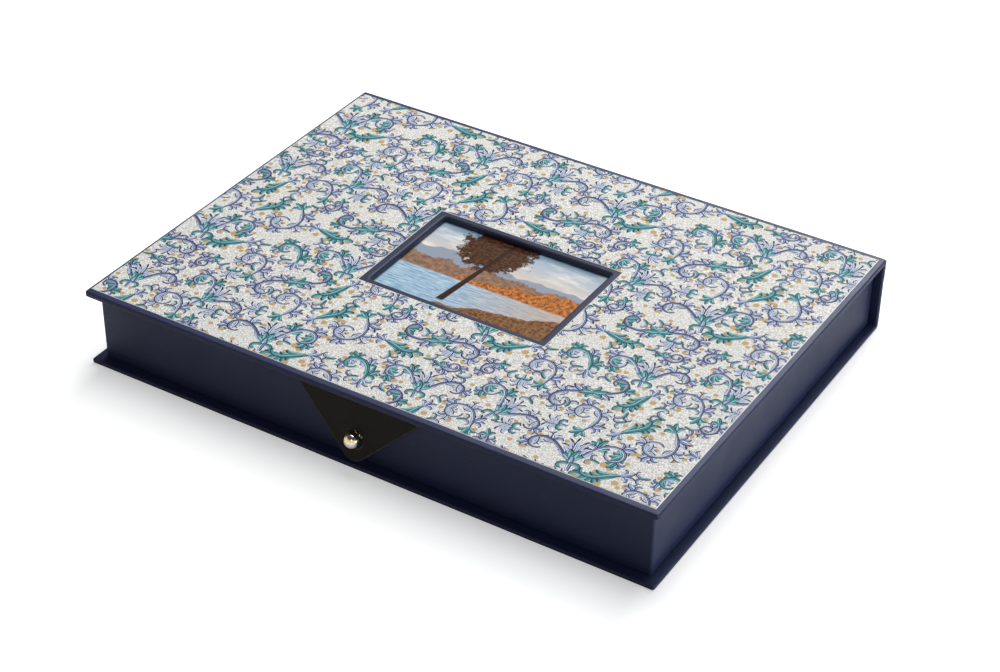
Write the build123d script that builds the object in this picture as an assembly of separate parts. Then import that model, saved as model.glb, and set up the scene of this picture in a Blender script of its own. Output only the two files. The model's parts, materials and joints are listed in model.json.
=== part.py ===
"""Book-style keepsake box: a cloth-covered case with a window lid, a tray glued into it, and a leather flap.

Millimetres, +Z up. The origin is the centre of the case's underside, X runs along the long front and
the front faces -Y. The boards are greyboard, wrapped in bookcloth whose edges are turned in, and lined
with paper. The lid swings on a cloth joint along the top of the spine. Its front stands a little higher
than its back, because the root of the leather flap lies between the lid and the front wall of the tray.
"""
from build123d import *
import math
import os

os.makedirs("parts", exist_ok=True)

# ---- overall sizes ----
case_width = 330.0
case_depth = 250.0
rim_height = 39.6            # from the table to the top of the tray's walls

# ---- sheet materials ----
cloth = 0.4                  # bookcloth
lining = 0.25                # lining paper
print_paper = 0.2            # patterned paper on the lid
turn_in = 16.0               # width of the cloth turned over an edge
edge_radius = 0.8            # rounding of a cloth-wrapped board edge

# ---- boards ----
base_board_thickness = 1.8
spine_board_thickness = 2.2
lid_board_thickness = 2.6
wall_board_thickness = 2.2
floor_board_thickness = 2.0

# ---- tray ----
side_overhang = 4.8          # base and lid stand out past the tray's sides
front_overhang = 6.0         # and past its front
rim_turn_in = 12.0           # cloth turned down inside the walls, and under the tray
lining_below_rim = 4.0       # bare cloth between the rim and the wall lining

# ---- lid joint ----
joint_gap = 1.0              # height of the cloth joint between the spine board and the lid
joint_bulge = 0.35           # the folding line lies this far behind the cloth's outer face
hinge_strip_width = 20.0     # inner joint cloth, on the lid's underside

# ---- window and patterned paper ----
window_width = 102.0
window_depth = 71.7
window_centre_y = -0.9
window_turn_in = 12.0
paper_width = 325.3
paper_depth = 243.4
paper_centre_x = -0.85
paper_centre_y = 0.3
paper_cutout_width = 110.6
paper_cutout_depth = 78.8
paper_cutout_x = 0.0
paper_cutout_y = -1.2

# ---- picture pocket under the lid ----
card_width = 127.0
card_depth = 89.0
card_thickness = 0.3
card_play = 0.15             # above and below the card
card_side_play = 0.5         # between the card's edges and the spacers
spacer_width = 8.0
pocket_board_thickness = 1.2
pocket_mouth = 2.5           # the pocket's board runs past the card at the open end
thumb_notch_radius = 9.0
lining_fit = 1.0             # between the lid's lining and the tray's walls
lining_window_margin = 3.0   # the lining's own cut-out stands back from the window

# ---- leather flap ----
flap_thickness = 1.5
flap_half_width = 37.0       # at the bend, and the depth to the point, as the sides run at 45 degrees
flap_point_radius = 7.5
flap_clearance = 0.3         # round the bend
flap_lean = 10.5             # degrees that the stiff leather stands off the wall
flap_root_thickness = 1.3    # skived where it is glued under the lid
flap_root_length = 19.0
flap_root_corner = 3.0
root_seat_gap = 0.2          # under the root, above the tray's rim
flap_hole_radius = 5.0
flap_hole_slack = 0.7        # the hole's centre hangs this much past the stud's

# ---- ball stud ----
ball_radius = 4.3
ball_reach = 7.8             # from the wall's cloth to the ball's centre
stud_below_rim = 20.2        # from the top of the wall down to the stud's centre
neck_radius = 1.9
flange_radius = 4.2
flange_thickness = 1.1
flange_edge = 0.4            # rounding of the flange's rim
screw_radius = 1.5
screw_clearance = 0.05
screw_reach = 2.6            # of thread inside the stud
screw_head_radius = 4.0
screw_head_thickness = 1.1
screw_head_edge = 0.4
driver_slot_width = 0.9
driver_slot_depth = 0.5

# ---- for cutting and picking ----
cut_through = 5.0            # a cutter stands out this far past what it cuts
pick_margin = 0.5            # an edge counts as the window's within this distance of it

# ---- derived places ----
half_width = case_width / 2
half_depth = case_depth / 2
base_top = cloth + base_board_thickness + cloth
lid_thickness = cloth + lid_board_thickness + cloth
spine_thickness = cloth + spine_board_thickness + cloth
spine_top = rim_height - joint_gap
tray_half_width = half_width - side_overhang
tray_front = -half_depth + front_overhang
tray_back = half_depth - spine_thickness
tray_bottom_boards = base_top + cloth
floor_top = tray_bottom_boards + floor_board_thickness
wall_stack = cloth + wall_board_thickness + cloth + lining
inner_half_width = tray_half_width - wall_stack
inner_front = tray_front + wall_stack
inner_back = tray_back - wall_stack
axis_y = half_depth + joint_bulge
axis_z = rim_height - joint_gap / 2
flap_axis_y = tray_front - flap_thickness / 2 - flap_clearance
root_rise = flap_root_thickness + root_seat_gap
lid_tilt = math.degrees(math.atan(root_rise / (axis_y - tray_front)))
flap_axis_rise = root_rise - flap_clearance - flap_thickness / 2
flap_axis_z = rim_height + flap_axis_rise
stud_height = rim_height - stud_below_rim
flap_hole_distance = (flap_axis_z - stud_height) / math.cos(math.radians(flap_lean)) + flap_hole_slack
pocket_height = card_play + card_thickness + card_play


def slab(x0, x1, y0, y1, z0, z1):
    """A box given by its low and high corners."""
    centre = Pos((x0 + x1) / 2, (y0 + y1) / 2, (z0 + z1) / 2)
    return centre * Box(x1 - x0, y1 - y0, z1 - z0)


def plate(width, depth, z0, z1, x=0.0, y=0.0):
    """A flat sheet centred on x, y."""
    return slab(x - width / 2, x + width / 2, y - depth / 2, y + depth / 2, z0, z1)


def wrapped(block):
    """A cloth-wrapped block with its outer edges rounded."""
    return fillet(block.edges(), edge_radius)


def on_lid(shape):
    """Tilt a piece that is drawn flat on the rim to where the closed lid lies."""
    joint_line = Axis((0, axis_y, axis_z), (-1, 0, 0))
    return shape.rotate(joint_line, lid_tilt)


def save(shape, name):
    shape.label = name
    export_step(shape, f"parts/{name}.step")


# ---- case: base and spine ----
def make_base():
    board = plate(case_width - 2 * cloth, case_depth - 2 * cloth, cloth, cloth + base_board_thickness)
    bare = plate(case_width - 2 * turn_in, case_depth - 2 * turn_in, base_top - cloth, base_top)
    cover = wrapped(plate(case_width, case_depth, 0, base_top)) - board - bare
    save(board, "base_board")
    save(cover, "base_cloth")


def make_spine():
    inner_y = half_depth - spine_thickness
    board_end = half_width - cloth
    board = slab(-board_end, board_end, inner_y + cloth, half_depth - cloth, base_top, spine_top)
    block = slab(-half_width, half_width, inner_y, half_depth, base_top, spine_top)
    rounded = fillet(block.edges().filter_by(Axis.Z), edge_radius)
    bare_half = half_width - turn_in
    bare = slab(-bare_half, bare_half, inner_y, inner_y + cloth, base_top, spine_top)
    save(board, "spine_board")
    save(rounded - board - bare, "spine_cloth")


# ---- tray ----
def tray_ring(inset, z0, z1):
    """The space inside the tray's outer faces, drawn in by inset."""
    return slab(
        -tray_half_width + inset, tray_half_width - inset,
        tray_front + inset, tray_back - inset, z0, z1,
    )


def stud_passage(radius):
    """The screw's way through the front wall."""
    through = Plane((0, (tray_front + inner_front) / 2, stud_height), z_dir=(0, 1, 0))
    return through * Cylinder(radius, wall_stack + 2 * cut_through)


def make_tray():
    wall_top = rim_height - cloth
    outer_x = tray_half_width - cloth
    outer_front = tray_front + cloth
    outer_back = tray_back - cloth
    inner_x = outer_x - wall_board_thickness
    hole = stud_passage(screw_radius + screw_clearance)
    z0 = tray_bottom_boards
    front = slab(-outer_x, outer_x, outer_front, outer_front + wall_board_thickness, z0, wall_top)
    back = slab(-outer_x, outer_x, outer_back - wall_board_thickness, outer_back, z0, wall_top)
    side_front = outer_front + wall_board_thickness
    side_back = outer_back - wall_board_thickness
    save(front - hole, "tray_front_wall")
    save(back, "tray_back_wall")
    save(slab(-outer_x, -inner_x, side_front, side_back, z0, wall_top), "tray_left_wall")
    save(slab(inner_x, outer_x, side_front, side_back, z0, wall_top), "tray_right_wall")
    save(slab(-inner_x, inner_x, side_front, side_back, z0, floor_top), "tray_floor_board")

    skin = fillet(tray_ring(0, base_top, rim_height).edges().filter_by(Axis.Z), edge_radius)
    boards = tray_ring(cloth, tray_bottom_boards, wall_top)
    hollow = tray_ring(2 * cloth + wall_board_thickness, tray_bottom_boards, rim_height)
    turned_down = tray_ring(cloth + wall_board_thickness, rim_height - rim_turn_in, rim_height) - hollow
    turned_under = tray_ring(rim_turn_in, base_top, tray_bottom_boards)
    save(skin - (boards - turned_down) - hollow - turned_under - hole, "tray_cloth")

    lining_top = rim_height - lining_below_rim
    lined = tray_ring(wall_stack - lining, floor_top, lining_top)
    save(lined - tray_ring(wall_stack, floor_top, lining_top) - hole, "wall_lining")
    save(tray_ring(wall_stack, floor_top, floor_top + lining), "floor_lining")


# ---- lid ----
def window_hole(margin, z0, z1):
    """A block that cuts the window, larger than the finished window by margin all round."""
    return plate(window_width + 2 * margin, window_depth + 2 * margin, z0, z1, 0, window_centre_y)


def make_lid():
    low = rim_height
    board_low = low + cloth
    board_high = board_low + lid_board_thickness
    high = low + lid_thickness
    board = plate(case_width - 2 * cloth, case_depth - 2 * cloth, board_low, board_high)
    board = board - window_hole(cloth, board_low, board_high)

    cover = wrapped(plate(case_width, case_depth, low, high))
    cover = cover - window_hole(0, low, high)
    reach_x = window_width / 2 + pick_margin
    reach_y = window_depth / 2 + pick_margin
    top_edges = cover.edges().group_by(Axis.Z)[-1]
    window_edges = top_edges.filter_by(
        lambda edge: abs(edge.center().X) < reach_x and abs(edge.center().Y - window_centre_y) < reach_y
    )
    cover = fillet(window_edges, edge_radius)
    bare = plate(case_width - 2 * turn_in, case_depth - 2 * turn_in, low, board_low)
    bare = bare - window_hole(window_turn_in, low, board_low)
    strip_space = slab(
        -half_width + turn_in, half_width - turn_in, half_depth - turn_in, half_depth - cloth, low, board_low
    )
    cover = cover - board - bare - strip_space

    paper = plate(paper_width, paper_depth, high, high + print_paper, paper_centre_x, paper_centre_y)
    cutout = plate(
        paper_cutout_width, paper_cutout_depth, high, high + print_paper, paper_cutout_x, paper_cutout_y
    )
    save(on_lid(board), "lid_board")
    save(on_lid(cover), "lid_cloth")
    save(on_lid(paper - cutout), "patterned_paper")


def flap_root_outline(z0, z1, grow):
    """The glued root of the flap, seen from above, larger by grow all round."""
    front = flap_axis_y + flap_thickness / 2 + flap_clearance
    back = front + flap_root_length
    block = slab(
        -flap_half_width - grow, flap_half_width + grow, front - grow, back + grow, z0, z1
    )
    far_edges = block.edges().filter_by(Axis.Z).group_by(Axis.Y)[-1]
    return fillet(far_edges, flap_root_corner)


def make_lid_inside():
    under = rim_height
    lining_low = under - lining
    fit = lining_fit
    sheet = slab(
        -inner_half_width + fit, inner_half_width - fit, inner_front + fit, inner_back - fit,
        lining_low, under,
    )
    sheet = sheet - window_hole(lining_window_margin, lining_low, under)
    sheet = sheet - flap_root_outline(lining_low, under, lining_fit)
    save(on_lid(sheet), "lid_lining")

    inner_x = card_width / 2 + card_side_play
    inner_y = card_depth / 2 + card_side_play
    outer_x = inner_x + spacer_width
    outer_y = inner_y + spacer_width
    mouth_x = card_width / 2 + pocket_mouth
    spacer_low = lining_low - pocket_height
    y = window_centre_y
    save(on_lid(slab(-outer_x, mouth_x, y - outer_y, y - inner_y, spacer_low, lining_low)),
         "pocket_spacer_front")
    save(on_lid(slab(-outer_x, mouth_x, y + inner_y, y + outer_y, spacer_low, lining_low)),
         "pocket_spacer_back")
    save(on_lid(slab(-outer_x, -inner_x, y - inner_y, y + inner_y, spacer_low, lining_low)),
         "pocket_spacer_left")
    board = slab(
        -outer_x, mouth_x, y - outer_y, y + outer_y, spacer_low - pocket_board_thickness, spacer_low
    )
    notch = Pos(mouth_x, y, spacer_low) * Cylinder(thumb_notch_radius, 2 * cut_through)
    save(on_lid(board - notch), "pocket_board")
    card_high = lining_low - card_play
    save(on_lid(plate(card_width, card_depth, card_high - card_thickness, card_high, 0, y)),
         "picture_card")


# ---- cloth joint ----
def make_joint():
    outer = slab(-half_width, half_width, half_depth - cloth, half_depth, spine_top, rim_height)
    save(outer, "hinge_cloth")
    spine_face = half_depth - spine_thickness
    strip_half = half_width - turn_in
    upright = slab(
        -strip_half, strip_half, spine_face, spine_face + cloth, base_top, rim_height + cloth / 2
    )
    leaf = slab(
        -strip_half, strip_half, half_depth - hinge_strip_width, half_depth - cloth,
        rim_height, rim_height + cloth,
    )
    save(upright + on_lid(leaf), "hinge_strip")


# ---- leather flap and ball stud ----
def make_flap():
    under = rim_height
    root_low = under - flap_root_thickness
    save(on_lid(flap_root_outline(root_low, under, 0)), "flap_root")

    edge = flap_half_width
    outline = Polygon((-edge, 0), (edge, 0), (0, -edge), align=None)
    point = outline.vertices().sort_by(Axis.Y)[0]
    outline = fillet(point, flap_point_radius)
    outline = outline - Pos(0, -flap_hole_distance) * Circle(flap_hole_radius)
    leather = extrude(outline, flap_thickness / 2, both=True)
    bend = Rotation(0, 90, 0) * Cylinder(flap_thickness / 2, 2 * edge)
    hung = Plane((0, flap_axis_y, flap_axis_z), x_dir=(1, 0, 0), z_dir=(0, -1, 0))
    lean = Axis((0, flap_axis_y, flap_axis_z), (-1, 0, 0))
    save((hung * (leather + bend)).rotate(lean, flap_lean), "closure_flap")


def make_stud():
    outward = Plane((0, tray_front, stud_height), z_dir=(0, -1, 0))
    flange = Cylinder(flange_radius, flange_thickness, align=(Align.CENTER, Align.CENTER, Align.MIN))
    flange = fillet(flange.edges().sort_by(Axis.Z)[-1], flange_edge)
    neck = Cylinder(neck_radius, ball_reach, align=(Align.CENTER, Align.CENTER, Align.MIN))
    ball = Pos(0, 0, ball_reach) * Sphere(ball_radius)
    thread = Cylinder(
        screw_radius + screw_clearance, screw_reach + screw_clearance,
        align=(Align.CENTER, Align.CENTER, Align.MIN),
    )
    save(outward * (flange + neck + ball - thread), "ball_stud")

    head_seat = tray_front + wall_stack
    inward = Plane((0, head_seat, stud_height), z_dir=(0, 1, 0))
    head = Cylinder(
        screw_head_radius, screw_head_thickness, align=(Align.CENTER, Align.CENTER, Align.MIN)
    )
    head = fillet(head.edges().sort_by(Axis.Z)[-1], screw_head_edge)
    slot = Pos(0, 0, screw_head_thickness) * Box(
        2 * screw_head_radius, driver_slot_width, 2 * driver_slot_depth    # sunk by half its height
    )
    shank_length = wall_stack + screw_reach
    shank = Cylinder(screw_radius, shank_length, align=(Align.CENTER, Align.CENTER, Align.MAX))
    save(inward * (head - slot + shank), "stud_screw")


make_base()
make_spine()
make_tray()
make_lid()
make_lid_inside()
make_joint()
make_flap()
make_stud()
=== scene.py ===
"""Looks of a cloth-covered keepsake box: bookcloth case, printed paper panel, picture window, leather flap.

Everything is in metres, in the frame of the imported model. Sizes below are in millimetres and are turned
into metres when a mesh is made. Pieces on the lid are drawn flat, with the lid level on the rim, and are
then tilted about the joint line to where the closed lid lies.
"""
import bmesh
import bpy
import json
import math
import numpy as np
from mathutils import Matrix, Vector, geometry


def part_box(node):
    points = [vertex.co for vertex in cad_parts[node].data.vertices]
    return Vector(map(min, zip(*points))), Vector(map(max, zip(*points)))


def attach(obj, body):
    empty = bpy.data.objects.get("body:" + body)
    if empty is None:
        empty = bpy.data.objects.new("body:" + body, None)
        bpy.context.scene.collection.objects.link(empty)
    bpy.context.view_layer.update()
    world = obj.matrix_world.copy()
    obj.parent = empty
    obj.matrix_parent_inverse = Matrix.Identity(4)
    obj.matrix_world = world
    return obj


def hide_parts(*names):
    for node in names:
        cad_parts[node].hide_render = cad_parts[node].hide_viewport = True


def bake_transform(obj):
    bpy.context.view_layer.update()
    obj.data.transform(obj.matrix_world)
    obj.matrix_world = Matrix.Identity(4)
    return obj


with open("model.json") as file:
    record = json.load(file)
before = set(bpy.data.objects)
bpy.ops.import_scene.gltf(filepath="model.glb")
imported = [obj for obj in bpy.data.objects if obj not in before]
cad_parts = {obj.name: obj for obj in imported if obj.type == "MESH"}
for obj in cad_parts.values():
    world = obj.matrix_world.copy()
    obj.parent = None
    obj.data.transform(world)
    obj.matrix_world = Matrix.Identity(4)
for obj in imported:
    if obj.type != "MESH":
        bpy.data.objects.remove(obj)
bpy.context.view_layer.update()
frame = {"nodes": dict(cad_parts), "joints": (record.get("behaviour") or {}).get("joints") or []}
MM = 0.001


# ======================================================================================
# Sizes, in millimetres, read from the frame where a node gives them
# ======================================================================================
def box_mm(node):
    """Low and high corners of a node, in millimetres."""
    low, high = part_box(node)
    return np.array(low) / MM, np.array(high) / MM


def joint_mm(name):
    """Where a hinge's axis passes, as (y, z) in millimetres."""
    joint = next(j for j in frame["joints"] if j["name"] == name)
    return joint["pos_m"][1] / MM, joint["pos_m"][2] / MM


cloth = 0.4
turn_in = 16.0
short_turn_in = 12.0
tray_wall = 3.0
strip_cloth = 0.3
_, base_high = box_mm("base_cloth")
tray_low, tray_high = box_mm("tray_cloth")
spine_low, spine_high = box_mm("spine_cloth")
stud_low, stud_high = box_mm("ball_stud")
paper_low, paper_high = box_mm("patterned_paper")
card_low, card_high = box_mm("picture_card")
half_width = base_high[0]
half_depth = base_high[1]
base_top = base_high[2]
rim = tray_high[2]
joint_y, joint_z = joint_mm("lid_hinge")
bend_y, bend_z = joint_mm("flap_hinge")
paper_thickness = 0.2
paper_depth = 243.4
paper_width = paper_high[0] - paper_low[0]
paper_x = (paper_high[0] + paper_low[0]) / 2
paper_y = 0.3
lid_tilt = math.asin((paper_high[2] - paper_low[2] - paper_thickness) / paper_depth)
lid_thickness = 3.4
lid_low = rim
lid_high = rim + lid_thickness
window_half_x = 51.0
window_half_y = 35.85
window_y = -0.9
cutout_half_x = 55.3
cutout_half_y = 39.4
cutout_x = 0.0
cutout_y = -1.2


# ======================================================================================
# Meshes from arrays
# ======================================================================================
def on_lid(points):
    """Flat-drawn lid points, in millimetres, turned by the lid's tilt about the joint line."""
    turned = np.array(points, float)
    y = turned[..., 1] - joint_y
    z = turned[..., 2] - joint_z
    cos, sin = math.cos(lid_tilt), math.sin(lid_tilt)
    turned[..., 1] = joint_y + y * cos + z * sin
    turned[..., 2] = joint_z - y * sin + z * cos
    return turned


def mesh_object(name, points, faces, smooth=True):
    """An object at the origin whose mesh has these points, given in millimetres."""
    mesh = bpy.data.meshes.new(name)
    mesh.from_pydata((np.asarray(points, float) * MM).tolist(), [], faces)
    mesh.polygons.foreach_set("use_smooth", [smooth] * len(mesh.polygons))
    mesh.update()
    obj = bpy.data.objects.new(name, mesh)
    bpy.context.scene.collection.objects.link(obj)
    return obj


def grid_faces(rows, columns, around=False, first=0):
    """Quads between neighbouring rows of a grid of points; around joins the last column to the first."""
    last = columns if around else columns - 1
    r, c = np.meshgrid(np.arange(rows - 1), np.arange(last), indexing="ij")
    right = (c + 1) % columns
    row, following = r * columns, (r + 1) * columns
    quads = np.stack([row + c, row + right, following + right, following + c], -1)
    return (quads.reshape(-1, 4) + first).tolist()


def settle(obj, merge=None):
    """Apply an object's modifiers, merge doubles and turn its faces outwards."""
    graph = bpy.context.evaluated_depsgraph_get()
    done = bpy.data.meshes.new_from_object(obj.evaluated_get(graph))
    obj.modifiers.clear()
    old = obj.data
    obj.data = done
    done.name = old.name
    bpy.data.meshes.remove(old)
    shell = bmesh.new()
    shell.from_mesh(done)
    if merge:
        bmesh.ops.remove_doubles(shell, verts=shell.verts, dist=merge)
    bmesh.ops.recalc_face_normals(shell, faces=shell.faces)
    shell.to_mesh(done)
    shell.free()
    return obj


def thicken(obj, thickness, offset=-1.0):
    """Give a sheet its thickness in millimetres: behind its faces at offset -1, on both sides at 0."""
    solidify = obj.modifiers.new("thickness", "SOLIDIFY")
    solidify.thickness = thickness * MM
    solidify.offset = offset
    solidify.use_even_offset = True
    return obj


def box_uv(obj):
    """A UV map in metres that lies flat on each side of a box: x with y, x with z, or y with z."""
    mesh = obj.data
    corners = np.empty(len(mesh.loops), int)
    mesh.loops.foreach_get("vertex_index", corners)
    places = np.empty(len(mesh.vertices) * 3)
    mesh.vertices.foreach_get("co", places)
    places = places.reshape(-1, 3)
    normals = np.empty(len(mesh.polygons) * 3)
    mesh.polygons.foreach_get("normal", normals)
    totals = np.empty(len(mesh.polygons), int)
    mesh.polygons.foreach_get("loop_total", totals)
    side = np.repeat(np.abs(normals.reshape(-1, 3)).argmax(1), totals)
    place = places[corners]
    u = np.where(side == 0, place[:, 1], place[:, 0])
    v = np.where(side == 2, place[:, 1], place[:, 2])
    layer = mesh.uv_layers.new(name="cloth")
    layer.data.foreach_set("uv", np.stack([u, v], -1).ravel())


def sewn(obj, thickness=cloth, offset=-1.0):
    """A sheet of cloth with its thickness and its UV map."""
    settle(obj)
    settle(thicken(obj, thickness, offset))
    box_uv(obj)
    return obj


def finish_piece(obj, body, material, slot, *replaced):
    """Give a piece its material and its body, and hide the CAD nodes that it stands for; slot is not used."""
    obj.data.materials.append(material)
    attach(obj, body)
    if replaced:
        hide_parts(*replaced)
    return obj


# ======================================================================================
# Node helpers and shared shader groups
# ======================================================================================
def plug(tree, socket, value):
    """Link a socket to an output, or set it to a value."""
    if isinstance(value, bpy.types.NodeSocket):
        tree.links.new(value, socket)
    else:
        socket.default_value = value


def add(tree, kind, settings=None, **inputs):
    """A shader node; settings are its own properties, inputs its sockets by name, or as i0, i1 and so on."""
    made = tree.nodes.new(kind)
    for key, value in (settings or {}).items():
        setattr(made, key, value)
    for key, value in inputs.items():
        numbered = key[0] == "i" and key[1:].isdigit()
        plug(tree, made.inputs[int(key[1:]) if numbered else key], value)
    return made


def math_node(tree, operation, first, second=0.0, third=0.0):
    """The output of a Math node."""
    return add(tree, "ShaderNodeMath", {"operation": operation}, i0=first, i1=second, i2=third).outputs[0]


def mix_colour(tree, share, first, second):
    """The output of a colour Mix node, whose colours are its inputs 6 and 7."""
    return add(tree, "ShaderNodeMix", {"data_type": "RGBA"}, i0=share, i6=first, i7=second).outputs[2]


def noise(tree, vector, scale, detail=2.0, roughness=0.5, distortion=0.0):
    """A noise texture's value, with scale in cells per metre."""
    made = add(tree, "ShaderNodeTexNoise", None, Vector=vector, Scale=scale, Detail=detail,
               Roughness=roughness, Distortion=distortion)
    return made.outputs["Fac"]


def spread(tree, value, low, high, to_low=0.0, to_high=1.0):
    """A value spread from one range to another, clamped."""
    made = add(tree, "ShaderNodeMapRange", {"clamp": True}, i0=value, i1=low, i2=high, i3=to_low, i4=to_high)
    return made.outputs[0]


def srgb(red, green, blue):
    """A colour given as screen values from 0 to 255, as Blender's linear RGBA."""
    screen = np.array([red, green, blue]) / 255
    linear = np.where(screen <= 0.04045, screen / 12.92, ((screen + 0.055) / 1.055) ** 2.4)
    return (*linear.tolist(), 1.0)


def shader_group(name, inputs, outputs):
    """An empty node group with float or vector sockets; returns it with its two end nodes."""
    kinds = {"value": "NodeSocketFloat", "vector": "NodeSocketVector"}
    group = bpy.data.node_groups.new(name, "ShaderNodeTree")
    for label, kind, default in inputs:
        socket = group.interface.new_socket(label, in_out="INPUT", socket_type=kinds[kind])
        if default is not None:
            socket.default_value = default
    for label, kind in outputs:
        group.interface.new_socket(label, in_out="OUTPUT", socket_type=kinds[kind])
    return group, group.nodes.new("NodeGroupInput"), group.nodes.new("NodeGroupOutput")


def weave_group():
    """Plain weave: warp and weft threads pass over each other like a checkerboard, with slubs."""
    group, start, end = shader_group(
        "plain_weave",
        [("Place", "vector", None), ("Pitch", "value", 0.0005), ("Slub", "value", 0.3)],
        [("Height", "value"), ("Shade", "value")],
    )
    place = add(group, "ShaderNodeVectorMath", {"operation": "SCALE"}, i0=start.outputs["Place"])
    group.links.new(math_node(group, "DIVIDE", 1.0, start.outputs["Pitch"]), place.inputs["Scale"])
    wander = add(group, "ShaderNodeTexNoise", None, Vector=start.outputs["Place"], Scale=900.0, Detail=1.0)
    shift = math_node(group, "MULTIPLY", wander.outputs["Fac"], start.outputs["Slub"])
    split = add(group, "ShaderNodeSeparateXYZ", None, Vector=place.outputs[0])
    across = math_node(group, "ADD", split.outputs["X"], shift)
    along = math_node(group, "ADD", split.outputs["Y"], shift)

    def thread(place):
        """How high a thread stands: 0 at its edges, 1 in its middle."""
        angle = math_node(group, "MULTIPLY", place, math.pi)
        return math_node(group, "ABSOLUTE", math_node(group, "SINE", angle))

    warp, weft = thread(across), thread(along)
    cell = math_node(group, "ADD", math_node(group, "FLOOR", across), math_node(group, "FLOOR", along))
    over = math_node(group, "FLOORED_MODULO", cell, 2.0)
    warp_up = math_node(group, "MULTIPLY", warp, math_node(group, "MULTIPLY_ADD", weft, 0.5, 0.5))
    weft_up = math_node(group, "MULTIPLY", weft, math_node(group, "MULTIPLY_ADD", warp, 0.5, 0.5))
    height = add(group, "ShaderNodeMix", {"data_type": "FLOAT"}, i0=over, i2=warp_up, i3=weft_up)
    streak = add(group, "ShaderNodeTexNoise", None, Vector=place.outputs[0], Scale=0.7, Detail=2.0)
    group.links.new(height.outputs[0], end.inputs["Height"])
    group.links.new(streak.outputs["Fac"], end.inputs["Shade"])
    return group


def fibre_group():
    """Paper surface: fine tooth, longer fibres and soft clouds."""
    group, start, end = shader_group(
        "paper_fibres",
        [("Place", "vector", None), ("Tooth", "value", 4000.0), ("Cloud", "value", 60.0)],
        [("Height", "value"), ("Cloud", "value"), ("Speckle", "value")],
    )
    place = start.outputs["Place"]
    tooth = noise(group, place, start.outputs["Tooth"], 3.0, 0.6)
    stretched = add(
        group, "ShaderNodeMapping", None, Vector=place, Scale=(1.0, 0.35, 1.0), Rotation=(0.0, 0.0, 0.4)
    )
    fibres = noise(group, stretched.outputs[0], 1600.0, 2.0, 0.6, 1.5)
    height = math_node(group, "MULTIPLY_ADD", fibres, 0.6, tooth)
    clouds = noise(group, place, start.outputs["Cloud"], 3.0, 0.55)
    speckle = noise(group, place, math_node(group, "MULTIPLY", start.outputs["Tooth"], 0.35), 2.0, 0.7)
    group.links.new(height, end.inputs["Height"])
    group.links.new(clouds, end.inputs["Cloud"])
    group.links.new(speckle, end.inputs["Speckle"])
    return group


def pebble_group():
    """Leather grain: small cells with rounded tops, on a softly uneven surface."""
    group, start, end = shader_group(
        "leather_grain",
        [("Place", "vector", None), ("Cell", "value", 1400.0)],
        [("Height", "value"), ("Tone", "value")],
    )
    place = start.outputs["Place"]
    bent = add(group, "ShaderNodeVectorMath", {"operation": "ADD"}, i0=place)
    wobble = add(group, "ShaderNodeTexNoise", None, Vector=place, Scale=500.0, Detail=2.0).outputs["Color"]
    small = add(group, "ShaderNodeVectorMath", {"operation": "SCALE"}, i0=wobble, Scale=0.0009)
    group.links.new(small.outputs[0], bent.inputs[1])
    fine = add(group, "ShaderNodeTexVoronoi", {"feature": "SMOOTH_F1"}, Vector=bent.outputs[0])
    group.links.new(start.outputs["Cell"], fine.inputs["Scale"])
    coarse = noise(group, place, 260.0, 3.0, 0.6)
    grain = math_node(group, "SUBTRACT", 1.0, fine.outputs["Distance"])
    height = math_node(group, "MULTIPLY_ADD", coarse, 0.8, grain)
    group.links.new(height, end.inputs["Height"])
    group.links.new(coarse, end.inputs["Tone"])
    return group


def use_group(tree, group, **inputs):
    """Place a shader group in a material."""
    made = tree.nodes.new("ShaderNodeGroup")
    made.node_tree = group
    for key, value in inputs.items():
        plug(tree, made.inputs[key], value)
    return made


weave = weave_group()
fibres = fibre_group()
pebble = pebble_group()


# ======================================================================================
# Materials
# ======================================================================================
def new_material(name):
    """A node material, with its tree, its Principled shader and a coordinate node."""
    made = bpy.data.materials.new(name)
    made.use_nodes = True
    tree = made.node_tree
    shader = tree.nodes["Principled BSDF"]
    return made, tree, shader, tree.nodes.new("ShaderNodeTexCoord")


def bump(tree, shader, height, strength, distance):
    """A Bump node that feeds the shader's normal; distance in metres."""
    made = add(tree, "ShaderNodeBump", None, Height=height, Strength=strength, Distance=distance)
    tree.links.new(made.outputs[0], shader.inputs["Normal"])


def surface(tree, shader, colour, roughness, specular=0.5):
    """The shader's colour, roughness and specular level, each a value or an output, the last a value."""
    plug(tree, shader.inputs["Base Color"], colour)
    plug(tree, shader.inputs["Roughness"], roughness)
    shader.inputs["Specular IOR Level"].default_value = specular


# strength of the painted shade on the cloth round the lid's window
painted_shade_strength = 0.6


def painted_window_shade(tree, coords):
    """Painted shade on the cloth inside the printed paper's cutout, round the window: how far it is darkened
    there; 0 elsewhere.
    """
    split = add(tree, "ShaderNodeSeparateXYZ", None, Vector=coords.outputs["Object"])
    inside = painted_shade_strength
    for axis, middle, half in (("X", cutout_x, cutout_half_x), ("Y", cutout_y, cutout_half_y)):
        away = math_node(tree, "ABSOLUTE", math_node(tree, "SUBTRACT", split.outputs[axis], middle * MM))
        edge = spread(tree, away, half * MM, (half + 1.0) * MM, 1.0, 0.0)
        inside = math_node(tree, "MULTIPLY", edge, inside)
    return inside


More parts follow.
